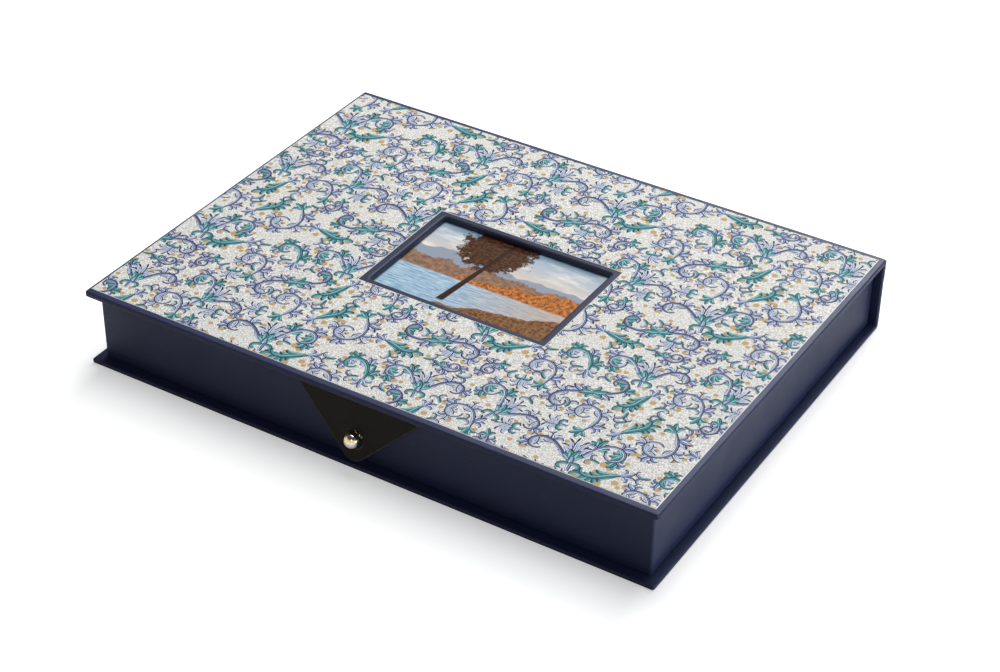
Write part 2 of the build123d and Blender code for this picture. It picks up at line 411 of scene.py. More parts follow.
def bookcloth(name="navy_bookcloth", shade_window_ledge=False):
    """Fine plain-weave bookcloth, dark navy, with a faint sheen and painted shade between its threads; the
    lid's cloth also gets painted shade round the window.
    """
    made, tree, shader, coords = new_material(name)
    cloth_weave = use_group(tree, weave, Place=coords.outputs["UV"], Pitch=0.00042, Slub=0.35)
    clouds = noise(tree, coords.outputs["Object"], 35.0, 4.0, 0.6)
    shade = spread(tree, cloth_weave.outputs["Shade"], 0.3, 0.7)
    dark = mix_colour(tree, shade, srgb(31, 39, 74), srgb(50, 61, 102))
    tint = mix_colour(tree, spread(tree, clouds, 0.35, 0.65, 0.0, 0.5), dark, srgb(42, 49, 87))
    # painted shade: the weave is darkened in the gaps between threads, where its height is low
    between = spread(tree, cloth_weave.outputs["Height"], 0.0, 0.5, 0.25, 0.0)
    low = mix_colour(tree, between, tint, srgb(20, 24, 42))
    if shade_window_ledge:
        # painted shade: the cloth round the lid's window is mixed towards a darker navy
        low = mix_colour(tree, painted_window_shade(tree, coords), low, srgb(27, 35, 53))
    surface(tree, shader, low, spread(tree, clouds, 0.3, 0.7, 0.44, 0.54), 0.33)
    shader.inputs["Sheen Weight"].default_value = 0.03
    shader.inputs["Sheen Roughness"].default_value = 0.4
    shader.inputs["Sheen Tint"].default_value = srgb(150, 160, 210)
    bump(tree, shader, cloth_weave.outputs["Height"], 0.35, 0.00006)
    return made


def greyboard():
    """Dense grey binder's board with flecks."""
    made, tree, shader, coords = new_material("greyboard")
    paper = use_group(tree, fibres, Place=coords.outputs["Object"], Tooth=2500.0, Cloud=90.0)
    flecks = spread(tree, paper.outputs["Speckle"], 0.4, 0.62)
    tone = mix_colour(tree, flecks, srgb(150, 145, 137), srgb(171, 166, 157))
    surface(tree, shader, tone, 0.9)
    bump(tree, shader, paper.outputs["Height"], 0.5, 0.00008)
    return made


def lining_paper(name="lining_paper", light=(224, 217, 201), dark=(219, 211, 195)):
    """Plain cream lining paper, matt."""
    made, tree, shader, coords = new_material(name)
    paper = use_group(tree, fibres, Place=coords.outputs["Object"], Tooth=3200.0, Cloud=40.0)
    cloud = spread(tree, paper.outputs["Cloud"], 0.35, 0.65)
    tone = mix_colour(tree, cloud, srgb(*light), srgb(*dark))
    fleck = spread(tree, paper.outputs["Speckle"], 0.62, 0.74, 0.0, 0.35)
    tone = mix_colour(tree, fleck, tone, srgb(190, 178, 156))
    surface(tree, shader, tone, spread(tree, cloud, 0.0, 1.0, 0.78, 0.88))
    bump(tree, shader, paper.outputs["Height"], 0.35, 0.00005)
    return made


def print_ground():
    """The printed paper's ground: cream, with a fine grey and beige speckle; its cut edge is white."""
    made, tree, shader, coords = new_material("print_ground")
    paper = use_group(tree, fibres, Place=coords.outputs["Object"], Tooth=3700.0, Cloud=25.0)
    grey = spread(tree, paper.outputs["Speckle"], 0.43, 0.57)
    tone = mix_colour(tree, grey, srgb(184, 184, 180), srgb(241, 240, 237))
    beige = spread(tree, noise(tree, coords.outputs["Object"], 700.0, 2.0, 0.7), 0.52, 0.68, 0.0, 0.5)
    tone = mix_colour(tree, beige, tone, srgb(214, 200, 178))
    core = add(tree, "ShaderNodeAttribute", {"attribute_name": "core"})
    tone = mix_colour(tree, core.outputs["Fac"], tone, srgb(243, 242, 238))
    surface(tree, shader, tone, spread(tree, paper.outputs["Cloud"], 0.3, 0.7, 0.72, 0.80), 0.3)
    bump(tree, shader, paper.outputs["Height"], 0.3, 0.00005)
    return made


def landscape_print():
    """A print of an autumn lake: pale sky, hills, warm woods, water and a dark tree; the back is plain."""
    made, tree, shader, coords = new_material("landscape_print")
    split = add(tree, "ShaderNodeSeparateXYZ", None, Vector=coords.outputs["Object"])
    across = spread(tree, split.outputs["X"], -0.051, 0.051)
    up = spread(tree, split.outputs["Y"], -0.0368, 0.0350)
    flat = add(tree, "ShaderNodeCombineXYZ", None, X=split.outputs["X"], Y=split.outputs["Y"])
    place = flat.outputs[0]

    def land(low, rise, scale, detail, seed, slope=0.0):
        """1 below a ridge whose height wanders with a noise along x."""
        moved = add(tree, "ShaderNodeCombineXYZ", None, X=split.outputs["X"], Y=seed)
        wander = noise(tree, moved.outputs[0], scale, detail, 0.6)
        sloping = math_node(tree, "MULTIPLY_ADD", across, slope, low)
        height = math_node(tree, "MULTIPLY_ADD", wander, rise, sloping)
        return spread(tree, math_node(tree, "SUBTRACT", height, up), 0.0, 0.012)

    def textured(dark, light, scale, low=0.4, high=0.6, vector=None):
        """Two colours, mixed by a noise."""
        share = spread(tree, noise(tree, vector or place, scale, 4.0, 0.7), low, high)
        return mix_colour(tree, share, dark, light)

    sky = mix_colour(tree, spread(tree, up, 0.5, 1.0), srgb(238, 214, 184), srgb(150, 184, 212))
    drift = add(tree, "ShaderNodeMapping", None, Vector=place, Scale=(1.0, 3.2, 1.0))
    clouds = spread(tree, noise(tree, drift.outputs[0], 45.0, 4.0, 0.6), 0.48, 0.66, 0.0, 0.8)
    picture = mix_colour(tree, clouds, sky, srgb(243, 236, 228))
    picture = mix_colour(tree, land(0.52, 0.30, 40.0, 2.0, 0.3), picture, srgb(150, 160, 176))
    picture = mix_colour(tree, land(0.40, 0.34, 60.0, 3.0, 0.7, 0.06), picture,
                         textured(srgb(122, 96, 84), srgb(166, 128, 98), 300.0))
    woods = textured(srgb(120, 62, 30), srgb(222, 140, 66), 420.0, 0.38, 0.62)
    picture = mix_colour(tree, land(0.22, 0.22, 110.0, 4.0, 1.9, 0.30), picture, woods)
    streaks = add(tree, "ShaderNodeMapping", None, Vector=place, Scale=(1.0, 9.0, 1.0))
    water = textured(srgb(112, 158, 192), srgb(196, 216, 228), 120.0, 0.38, 0.62, streaks.outputs[0])
    glow = mix_colour(tree, spread(tree, across, 0.35, 0.9, 0.0, 0.55), water, srgb(214, 168, 120))
    picture = mix_colour(tree, spread(tree, math_node(tree, "SUBTRACT", 0.40, up), 0.0, 0.01), picture, glow)
    bank = textured(srgb(84, 54, 34), srgb(158, 112, 70), 500.0)
    picture = mix_colour(tree, land(-0.20, 0.20, 50.0, 4.0, 3.1, 0.42), picture, bank)
    crown = add(tree, "ShaderNodeVectorMath", {"operation": "DISTANCE"}, i0=place, i1=(-0.012, 0.026, 0.0))
    rustle = noise(tree, place, 190.0, 5.0, 0.75)
    ragged = math_node(tree, "MULTIPLY_ADD", rustle, 0.034, crown.outputs["Value"])
    leaves = textured(srgb(40, 28, 22), srgb(104, 66, 38), 520.0)
    picture = mix_colour(tree, spread(tree, ragged, 0.036, 0.0385, 1.0, 0.0), picture, leaves)
    lean = math_node(tree, "MULTIPLY_ADD", split.outputs["Y"], 0.12, -0.0105)
    trunk = math_node(tree, "ABSOLUTE", math_node(tree, "SUBTRACT", split.outputs["X"], lean))
    width = spread(tree, up, 0.05, 0.8, 0.0024, 0.0012)
    on_trunk = spread(tree, math_node(tree, "SUBTRACT", width, trunk), 0.0, 0.0003)
    tall = spread(tree, up, 0.10, 0.12)
    picture = mix_colour(tree, math_node(tree, "MULTIPLY", on_trunk, tall), picture, srgb(52, 36, 28))
    cos, sin = math.cos(lid_tilt), math.sin(lid_tilt)
    low, high = card_low[2] * cos + card_high[1] * sin, card_high[2] * cos + card_low[1] * sin
    upright = math_node(tree, "MULTIPLY", split.outputs["Z"], cos)
    height = math_node(tree, "MULTIPLY_ADD", split.outputs["Y"], sin, upright)
    printed = spread(tree, height, (high * 0.7 + low * 0.3) * MM, (high * 0.85 + low * 0.15) * MM)
    paper = use_group(tree, fibres, Place=coords.outputs["Object"], Tooth=3200.0, Cloud=40.0)
    back = mix_colour(tree, paper.outputs["Cloud"], srgb(236, 234, 228), srgb(228, 226, 219))
    picture = mix_colour(tree, printed, back, picture)
    surface(tree, shader, picture, 0.28, 0.35)
    return made


def printing_ink(name):
    """Flat ink printed on the paper: matt, with the paper's tooth showing through."""
    made, tree, shader, coords = new_material("ink_" + name)
    paper = use_group(tree, fibres, Place=coords.outputs["Object"], Tooth=3000.0, Cloud=25.0)
    surface(tree, shader, srgb(*inks[name]), 0.7, 0.3)
    bump(tree, shader, paper.outputs["Height"], 0.3, 0.00005)
    return made


def dark_leather():
    """Very dark olive-black leather: fine pebbles, and edges rubbed a little lighter."""
    made, tree, shader, coords = new_material("dark_leather")
    grain = use_group(tree, pebble, Place=coords.outputs["Object"], Cell=1300.0)
    mottled = spread(tree, grain.outputs["Tone"], 0.35, 0.65)
    tone = mix_colour(tree, mottled, srgb(17, 17, 13), srgb(25, 24, 19))
    rubbed = add(tree, "ShaderNodeAttribute", {"attribute_name": "rubbed"})
    patches = spread(tree, grain.outputs["Tone"], 0.35, 0.62, 0.15, 0.95)
    worn = math_node(tree, "MULTIPLY", rubbed.outputs["Fac"], patches)
    tone = mix_colour(tree, worn, tone, srgb(106, 103, 90))
    surface(tree, shader, tone, spread(tree, grain.outputs["Tone"], 0.3, 0.7, 0.42, 0.58), 0.16)
    bump(tree, shader, grain.outputs["Height"], 0.6, 0.0002)
    return made


def polished_metal():
    """Nickel-plated brass, polished, with faint wiping marks."""
    made, tree, shader, coords = new_material("polished_metal")
    marks = noise(tree, coords.outputs["Object"], 900.0, 4.0, 0.6, 0.8)
    tone = mix_colour(tree, spread(tree, marks, 0.35, 0.65), srgb(250, 247, 240), srgb(238, 232, 220))
    surface(tree, shader, tone, spread(tree, marks, 0.3, 0.7, 0.03, 0.09))
    shader.inputs["Metallic"].default_value = 1.0
    bump(tree, shader, marks, 0.05, 0.00002)
    return made


navy = bookcloth()
lid_navy = bookcloth("navy_lid_cloth", shade_window_ledge=True)
board_grey = greyboard()
cream_paper = lining_paper()
pocket_paper = lining_paper("pocket_paper", (216, 209, 193), (211, 203, 187))
ground = print_ground()
leather = dark_leather()
metal = polished_metal()


# ======================================================================================
# Cloth-covered boards
# ======================================================================================
side_points = 24
corner_points = 7


def arc(across, up, radius, start, stop, count):
    """Points at a radius from (across, up), evenly spaced from start to stop, in degrees anticlockwise."""
    turn = np.radians(np.linspace(start, stop, count))
    return np.stack([across + radius * np.cos(turn), up + radius * np.sin(turn)], -1)


def rectangle(half_x, half_y, corner, y=0.0):
    """A rounded rectangle, anticlockwise: straight sides joined by quarter circles."""
    corner = min(corner, half_x, half_y)
    x_in, y_in = half_x - corner, half_y - corner
    centres = ((x_in, y_in), (-x_in, y_in), (-x_in, -y_in), (x_in, -y_in))
    turns = [arc(*centre, corner, 90 * k, 90 * k + 90, corner_points) for k, centre in enumerate(centres)]
    share = np.linspace(0, 1, side_points + 2)[1:-1, None]
    loop = []
    for here, after in zip(turns, turns[1:] + turns[:1]):
        loop += [here, here[-1] + (after[0] - here[-1]) * share]
    loop = np.concatenate(loop)
    loop[:, 1] += y
    return loop


def waver(points, size, seed):
    """Slight unevenness of hand-laid cloth: a few long waves along x and y, in each direction."""
    chance = np.random.default_rng(seed)
    moved = points.copy()
    for axis in range(3):
        for length in (37.0, 61.0, 113.0):
            phase, heading = chance.uniform(0, 2 * math.pi, 2)
            travel = points[..., 0] * math.cos(heading) + points[..., 1] * math.sin(heading) + points[..., 2]
            moved[..., axis] += size / 3 * np.sin(2 * math.pi * travel / length + phase)
    return moved


def wrapped(half_x, half_y, y, corner, profile):
    """A profile carried round a rounded rectangle: its (offset, z) points draw it in and set its height."""
    loops = []
    for offset, z in profile:
        loop = rectangle(half_x - offset, half_y - offset, max(corner - offset, 0.15), y)
        loops.append(np.column_stack([loop, np.full(len(loop), z)]))
    return np.array(loops)


def lid_cover():
    """Cloth round the lid board: from under the window's edge, through the window, over and round."""
    corner, soft, fold, tuck = 1.4, 0.9, 1.3, 0.35
    low, high = lid_low, lid_high
    window = [(-short_turn_in, low), (-0.7, low), *arc(-tuck, low + tuck, tuck, -90, 0, 3),
              *arc(-fold, high - fold, fold, 0, 90, 9), (-3.0, high)]
    outside = [(4.0, high), *arc(soft, high - soft, soft, 90, 180, 7),
               *arc(soft, low + soft, soft, 180, 270, 7), (4.0, low), (turn_in, low)]
    points = np.concatenate([wrapped(window_half_x, window_half_y, window_y, corner, window),
                             wrapped(half_width, half_depth, 0.0, corner, outside)])
    behind = points[..., 1] > half_depth - turn_in - 1.0
    over_strip = behind & (np.abs(points[..., 0]) < half_width - turn_in + 0.3)
    over_strip[:-2] = False
    points[..., 2] += np.where(over_strip, 0.35, 0.0)
    shape = points.shape
    points = on_lid(waver(points, size=0.07, seed=3)).reshape(-1, 3)
    return sewn(mesh_object("lid_cover", points, grid_faces(*shape[:2], around=True)))


def base_cover():
    """Cloth round the base board: a full underside, rounded edges, and the ledge turned in under the tray."""
    corner, soft = 1.3, 0.8
    profile = [(half_depth - 2.0, 0.0), (60.0, 0.0), (4.0, 0.0), *arc(soft, soft, soft, 270, 180, 6),
               *arc(soft, base_top - soft, soft, 180, 90, 6), (4.0, base_top), (turn_in, base_top)]
    points = wrapped(half_width, half_depth, 0.0, corner, profile)
    count = points.shape[1]
    faces = grid_faces(*points.shape[:2], around=True) + [list(range(count))[::-1]]
    flat = waver(points, size=0.05, seed=5)
    flat[:3, :, 2] = 0.0
    flat[..., 2] = np.maximum(flat[..., 2], 0.0)
    return sewn(mesh_object("base_cover", flat.reshape(-1, 3), faces))


def tray_cover():
    """Cloth round the tray's walls: from under the floor, up the outside, over the rim and down inside."""
    corner, soft, foot, wall = 1.3, 0.8, 0.4, tray_wall
    low = tray_low[2]
    upright = [(0.0, low + (rim - soft - low) * share) for share in (0.2, 0.4, 0.6, 0.8)]
    profile = [(short_turn_in, low), (wall, low), *arc(foot, low + foot, foot, 270, 180, 4), *upright,
               *arc(soft, rim - soft, soft, 180, 90, 6), *arc(wall - soft, rim - soft, soft, 90, 0, 6),
               (wall, rim - 4.0), (wall, rim - short_turn_in)]
    half_y, middle_y = (tray_high[1] - tray_low[1]) / 2, (tray_high[1] + tray_low[1]) / 2
    points = wrapped(tray_high[0], half_y, middle_y, corner, profile)
    faces = grid_faces(*points.shape[:2], around=True)
    return sewn(mesh_object("tray_cover", waver(points, size=0.06, seed=7).reshape(-1, 3), faces))


def swept(name, path, spans, count):
    """Cloth strips: a path in the y-z plane carried along x over each span, from its low to its high end."""
    path = np.array(path)
    points = np.empty((len(spans), len(path), count, 3))
    lows, highs = zip(*spans)
    points[..., 0] = np.linspace(lows, highs, count, axis=1)[:, None, :]
    points[..., 1] = path[None, :, None, 0]
    points[..., 2] = path[None, :, None, 1]
    faces = sum((grid_faces(len(path), count, first=k * len(path) * count) for k in range(len(spans))), [])
    return mesh_object(name, points.reshape(-1, 3), faces)


def spine_cover():
    """Cloth round the spine board: from a turn-in on its inner face, round each end and across the back."""
    soft = 1.0
    inner, outer = spine_low[1], spine_high[1]
    ends = [(half_width - turn_in, inner), (half_width - 3.0, inner),
            *arc(half_width - soft, inner + soft, soft, -90, 0, 6),
            *arc(half_width - soft, outer - soft, soft, 0, 90, 6)]
    across = [(x, outer) for x in np.linspace(half_width - 6, -half_width + 6, 40)]
    path = np.array(ends + across + [(-x, y) for x, y in ends[::-1]])
    heights = np.array([base_top, base_top + 0.6, 9.0, 18.0, 27.0, 36.0, spine_high[2] - 0.5, spine_high[2]])
    points = np.empty((len(heights), len(path), 3))
    points[..., :2] = path
    points[..., 2] = heights[:, None]
    faces = grid_faces(*points.shape[:2])
    return sewn(mesh_object("spine_cover", waver(points, size=0.05, seed=9).reshape(-1, 3), faces))


lid_piece = finish_piece(lid_cover(), "lid", lid_navy, "navy_bookcloth", "lid_cloth")
base_piece = finish_piece(base_cover(), "case", navy, "navy_bookcloth", "base_cloth")
tray_piece = finish_piece(tray_cover(), "case", navy, "navy_bookcloth", "tray_cloth")
spine_piece = finish_piece(spine_cover(), "case", navy, "navy_bookcloth", "spine_cloth")


# ======================================================================================
# Cloth joint: the strips outside and inside between spine and lid, and the outer one's turned-in ends
# ======================================================================================
strip_reach = 20.0
end_cloth = 0.25


def hinge_cover():
    """Outer cloth of the joint: a y-z path from a lap on the spine, through a groove, to the lid's edge."""
    path = [(half_depth + out, rim + up) for out, up in (
        (-0.50, -9.4), (-0.34, -8.4), (-0.27, -7.0), (-0.24, -5.0), (-0.24, -1.8), (-0.31, -1.3),
        (-0.56, -0.85), (-0.66, -0.5), (-0.56, -0.15), (-0.31, 0.35), (-0.24, 0.9), (-0.24, 1.5),
        (-0.31, 2.1), (-0.50, 2.7),
    )]
    reach = half_width - 0.15
    return sewn(swept("hinge_cover", path, [(-reach, reach)], 61), strip_cloth, 1.0)


def folded_path(face, over, under, fold):
    """y-z path up the spine's inner face, over its top at height over and round a half circle to under."""
    radius = (under - over) / 2
    return [(face, over - 0.45), (face + 0.05, over - 0.2), (face + 0.2, over - 0.05), (face + 0.5, over),
            *arc(fold, over + radius, radius, -90, 90, 9)]


def inner_strip():
    """Inner cloth of the joint: up the spine's inner face, folded over its top and pasted under the lid."""
    face, under = spine_low[1] + 0.2, rim + 0.17
    path = [(face, base_top + 0.4), (face, 20.0), (face, 34.0)]
    path += folded_path(face, spine_high[2] + 0.18, under, half_depth - 1.45)
    leaf = [(0.0, half_depth - back, under) for back in (3.0, 8.0, 14.0, 19.4, strip_reach)]
    path += on_lid(leaf)[:, 1:].tolist()
    reach = half_width - turn_in
    return sewn(swept("inner_joint_cloth", path, [(-reach, reach)], 61), strip_cloth, 0.0)


def joint_ends():
    """The outer cloth's turned-in ends at the joint: over the spine's top to the lid's underside."""
    face, over, under, fold = spine_low[1] + 0.14, spine_high[2] + 0.14, rim - 0.20, half_depth - 1.3
    path = folded_path(face, over, under, fold) + [(half_depth - 2.6, under)]
    near, far = half_width - turn_in - 0.5, half_width - 0.2
    return sewn(swept("joint_end_cloth", path, [(-far, -near), (near, far)], 8), end_cloth, 0.0)


hinge_piece = hinge_cover()
strip_piece = inner_strip()
ends_piece = joint_ends()
for piece, low, high in (
    (hinge_piece, rim - 1.0, rim), (strip_piece, rim - 0.66, rim), (ends_piece, rim - 0.72, rim - 0.34),
):
    piece.data.materials.append(navy)
    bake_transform(piece)
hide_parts("hinge_cloth")
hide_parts("hinge_strip")


# ======================================================================================
# Leather flap: one piece from under the lid, over the bend, to the rounded point
# ======================================================================================
flap_edge = 37.0
flap_point = 7.5
flap_lean = math.radians(10.5)
flap_thickness = 1.3
flap_root_y = -100.0
flap_bend_y = -118.2
flap_bend_run = 2.2
flap_bow = 0.35
flap_edge_softness = 0.42
hole_radius = 5.0
rub_width = 0.9
stud_z = (stud_low[2] + stud_high[2]) / 2
hole_reach = (bend_z - stud_z) / math.cos(flap_lean) + 0.7


def flap_path():
    """The leather's middle layer: distances along it past the bend, and its y-z points at them."""
    flat_z = lid_low - flap_thickness / 2
    root = on_lid([[0, flap_root_y, flat_z], [0, flap_bend_y, flat_z]])[:, 1:]
    down = np.array([-math.sin(flap_lean), -math.cos(flap_lean)])
    axis = np.array([bend_y, bend_z])
    corner = axis - down * (root[1, 1] - bend_z) / math.cos(flap_lean)
    after = axis + down * flap_bend_run
    t = np.linspace(0, 1, 12)[:, None]
    curve = (1 - t) ** 2 * root[1] + 2 * t * (1 - t) * corner + t ** 2 * after
    path = np.concatenate([root[:1], curve, [axis + down * 40]])
    length = np.concatenate([[0], np.cumsum(np.linalg.norm(np.diff(path, axis=0), axis=1))])
    return length - length[-2] + flap_bend_run, path


def flap_outline(inset, back):
    """The flap cut out flat, drawn in by inset: root with rounded corners, 45-degree sides, rounded point."""
    edge = flap_edge - inset
    radius = flap_point - inset
    centre = flap_edge - flap_point * math.sqrt(2)
    corner = 3.0
    shoulder = inset * (math.sqrt(2) - 1)
    right = np.array([*arc(edge - corner, back + inset + corner, corner, -90, 0, 6), (edge, -shoulder)])
    return np.concatenate([right, arc(0.0, centre, radius, 45, 135, 15), right[::-1] * [-1, 1]])


def leather_flap():
    """The flat cut, triangulated, laid along its path with a slight bow, thickened and soft at its edges."""
    length, path = flap_path()
    back = length[0]
    outline = flap_outline(0.0, back)
    inner = flap_outline(rub_width, back)
    turn = np.linspace(0, 2 * math.pi, 48, endpoint=False)
    ring = np.stack([np.cos(turn), np.sin(turn)], -1)
    hole = ring * hole_radius + [0, hole_reach]
    rim_ring = ring * (hole_radius + rub_width) + [0, hole_reach]
    loops = [outline, inner, rim_ring, hole]
    points, edges, row_points = [], [], 13
    for loop in loops:
        first = len(points)
        points += loop.tolist()
        edges += [(first + k, first + (k + 1) % len(loop)) for k in range(len(loop))]
    stretches = [np.linspace(back + 4, -5, 4), np.linspace(-3.6, 2.4, 13), np.linspace(5, 32, 10)]
    for d in np.concatenate(stretches):
        first = len(points)
        points += [(u, d) for u in np.linspace(-flap_edge - 1, flap_edge + 1, row_points)]
        edges += [(first + k, first + k + 1) for k in range(row_points - 1)]
    flat, _, faces, _, _, sources = geometry.delaunay_2d_cdt(
        [Vector(point) for point in points], edges, [list(range(len(outline)))], 1, 1e-5, True
    )
    flat = np.array([point[:] for point in flat])
    keep = [
        face for face, source in zip(faces, sources)
        if source and np.hypot(*(flat[face].mean(0) - [0, hole_reach])) > hole_radius
    ]
    used, again = np.unique(np.concatenate([np.array(face) for face in keep]), return_inverse=True)
    sizes = np.cumsum([0] + [len(face) for face in keep])
    keep = [again[a:b].tolist() for a, b in zip(sizes[:-1], sizes[1:])]
    flat = flat[used]
    u, d = flat[:, 0], flat[:, 1]
    y = np.interp(d, length, path[:, 0])
    z = np.interp(d, length, path[:, 1])
    wide = np.maximum(flap_edge - np.maximum(d, 0), 6.0)
    bow = flap_bow * np.sin(math.pi * np.clip(d / 33, 0, 1)) * (1 - np.clip(u / wide, -1, 1) ** 2)
    obj = mesh_object("leather_flap", np.column_stack([u, y - bow, z]), keep)
    near_edge = np.full(len(flat), np.inf)
    for loop in (outline, hole):
        after = np.roll(loop, -1, axis=0)
        along = after - loop
        share = ((flat[:, None] - loop) * along).sum(-1) / (along ** 2).sum(-1)
        foot = loop + np.clip(share, 0, 1)[..., None] * along
        near_edge = np.minimum(near_edge, np.linalg.norm(flat[:, None] - foot, axis=-1).min(1))
    worn = np.clip(1 - near_edge / rub_width, 0, 1)
    obj.data.attributes.new("rubbed", "FLOAT", "POINT").data.foreach_set("value", worn)
    thicken(obj, flap_thickness, 0.0)
    soft = obj.modifiers.new("soft edge", "BEVEL")
    soft.width = flap_edge_softness * MM
    soft.segments = 3
    soft.limit_method = "ANGLE"
    soft.angle_limit = math.radians(50)
    soft.harden_normals = True
    settle(obj)
    return obj


flap_piece = leather_flap()
flap_piece.data.materials.append(leather)
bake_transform(flap_piece)
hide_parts("flap_root", "closure_flap")


# ======================================================================================
# Ball stud, turned
# ======================================================================================
def ball_stud():
    """A turned stud: a profile of reach against radius, carried round the stud's own axis."""
    ball, neck, flange, thick, soft = 4.3, 1.9, 3.7, 0.8, 0.4
    reach = tray_low[1] - stud_low[1] - ball
    meet = math.degrees(math.asin(neck / ball))
    profile = np.array([
        (0.0, 0.0), (0.0, flange - 0.1), (0.1, flange), *arc(thick - soft, flange - soft, soft, 90, 0, 6),
        (thick, neck + 0.5), (thick + 0.15, neck + 0.15), (thick + 0.5, neck),
        *arc(reach, 0.0, ball, 180 - meet, 0, 30),
    ])
    profile[-1, 1] = 0.0
    turn = np.linspace(0, 2 * math.pi, 56, endpoint=False)
    points = np.empty((len(profile), len(turn), 3))
    points[..., 0] = profile[:, 1:] * np.cos(turn)
    points[..., 1] = tray_low[1] - profile[:, :1]
    points[..., 2] = stud_z + profile[:, 1:] * np.sin(turn)
    obj = mesh_object("turned_stud", points.reshape(-1, 3), grid_faces(len(profile), len(turn), around=True))
    settle(obj, merge=1e-7)
    return obj


finish_piece(ball_stud(), "case", metal, "polished_metal", "ball_stud")


# ======================================================================================
# Printed paper panel
# ======================================================================================
def paper_panel():
    """The pasted panel: a flat top, and cut edges that slope out, inside and outside, and show white."""
    slope = 0.3
    top = lid_high + paper_thickness
    rows = []
    for half_x, half_y, x, y, offset, z in (
        (cutout_half_x, cutout_half_y, cutout_x, cutout_y, 0.0, lid_high),
        (cutout_half_x, cutout_half_y, cutout_x, cutout_y, -0.05, top),
        (paper_width / 2, paper_depth / 2, paper_x, paper_y, slope, top),
        (paper_width / 2, paper_depth / 2, paper_x, paper_y, 0.0, lid_high),
    ):
        loop = rectangle(half_x - offset, half_y - offset, 0.15, y)
        loop[:, 0] += x
        rows.append(np.column_stack([loop, np.full(len(loop), z)]))
    points = np.array(rows + rows[:1])
    faces = grid_faces(*points.shape[:2], around=True)
    obj = mesh_object("paper_panel", on_lid(points).reshape(-1, 3), faces, False)
    settle(obj, 1e-7)
    core = np.zeros(len(obj.data.polygons))
    steep = np.empty(len(obj.data.polygons) * 3)
    obj.data.polygons.foreach_get("normal", steep)
    core[steep.reshape(-1, 3)[:, 2] < 0.95] = 1.0
    obj.data.attributes.new("core", "FLOAT", "FACE").data.foreach_set("value", core)
    return obj


finish_piece(paper_panel(), "lid", ground, "printed_paper", "patterned_paper")


# ======================================================================================
# Print on the paper: acanthus scrolls in a half-drop repeat
# ======================================================================================
repeat_x = 174.0
repeat_y = 65.5
line_width = 0.42
streak_from = 1.2
print_margin = 0.35
motif_sizes = (0.78, 0.90)
motif_gap = 0.55
motif_halo = 3.2
like_motifs_apart = 42.0

inks = {
    "gold": (190, 158, 106), "deep_teal": (14, 52, 68), "teal": (72, 145, 151), "pale_teal": (142, 194, 196),
    "violet": (26, 26, 60), "purple": (116, 122, 162), "blue": (154, 168, 204), "pale_blue": (210, 219, 234),
}
families = {"teal": ("deep_teal", "teal", "pale_teal"), "purple": ("violet", "purple", "blue"),
            "blue": ("violet", "blue", "pale_blue"), "pale": ("violet", "pale_blue", "blue")}


def centre_line(x, y, heading, length, bends, count):
    """A path from (x, y) whose heading turns at the rates in bends, in degrees over its whole length."""
    t = np.linspace(0, 1, count)
    rate = np.radians(np.interp(t, np.linspace(0, 1, len(bends)), bends))
    turn = math.radians(heading) + np.concatenate([[0], np.cumsum((rate[1:] + rate[:-1]) / 2)]) / (count - 1)
    middle = (turn[1:] + turn[:-1]) / 2
    step = length / (count - 1)
    ahead = np.concatenate([[[0, 0]], np.cumsum(np.stack([np.cos(middle), np.sin(middle)], -1), axis=0)])
    return ahead * step + [x, y], turn


def width_profile(kind, t):
    """Half width along a shape, from 0 to 1: a pointed leaf, a round lobe, a hook, a horn or a stem."""
    if kind == "leaf":
        return np.sin(math.pi * t ** 0.8) ** 0.75
    if kind == "lobe":
        body = 0.45 + 0.55 * np.sin(np.clip(t / 0.7, 0, 1) * math.pi / 2)
        end = np.sqrt(np.clip(1 - ((t - 0.80) / 0.20) ** 2, 0, 1))
        return np.where(t > 0.80, body * end, body)
    if kind == "hook":
        body = 0.50 + 0.50 * np.sin(np.clip(t / 0.45, 0, 1) * math.pi / 2)
        body = body * np.interp(t, [0, 0.5, 0.86, 1], [1, 1, 0.6, 0.55])
        return body * np.sqrt(np.clip(1 - (np.maximum(t - 0.86, 0) / 0.14) ** 2, 0, 1))
    if kind == "horn":
        return 0.30 + 0.70 * np.sin(math.pi * np.clip(t, 0, 1) ** 0.75) ** 1.2
    return 0.55 + 0.45 * np.sin(math.pi * t)


def ribbon(line, turn, half, shift=0.0):
    """The outline of a band along a path: half its width on each side, moved sideways by shift."""
    normal = np.stack([-np.sin(turn), np.cos(turn)], -1)
    left = line + normal * (half + shift)[:, None]
    right = line + normal * (shift - half)[:, None]
    return np.concatenate([left, right[::-1]])


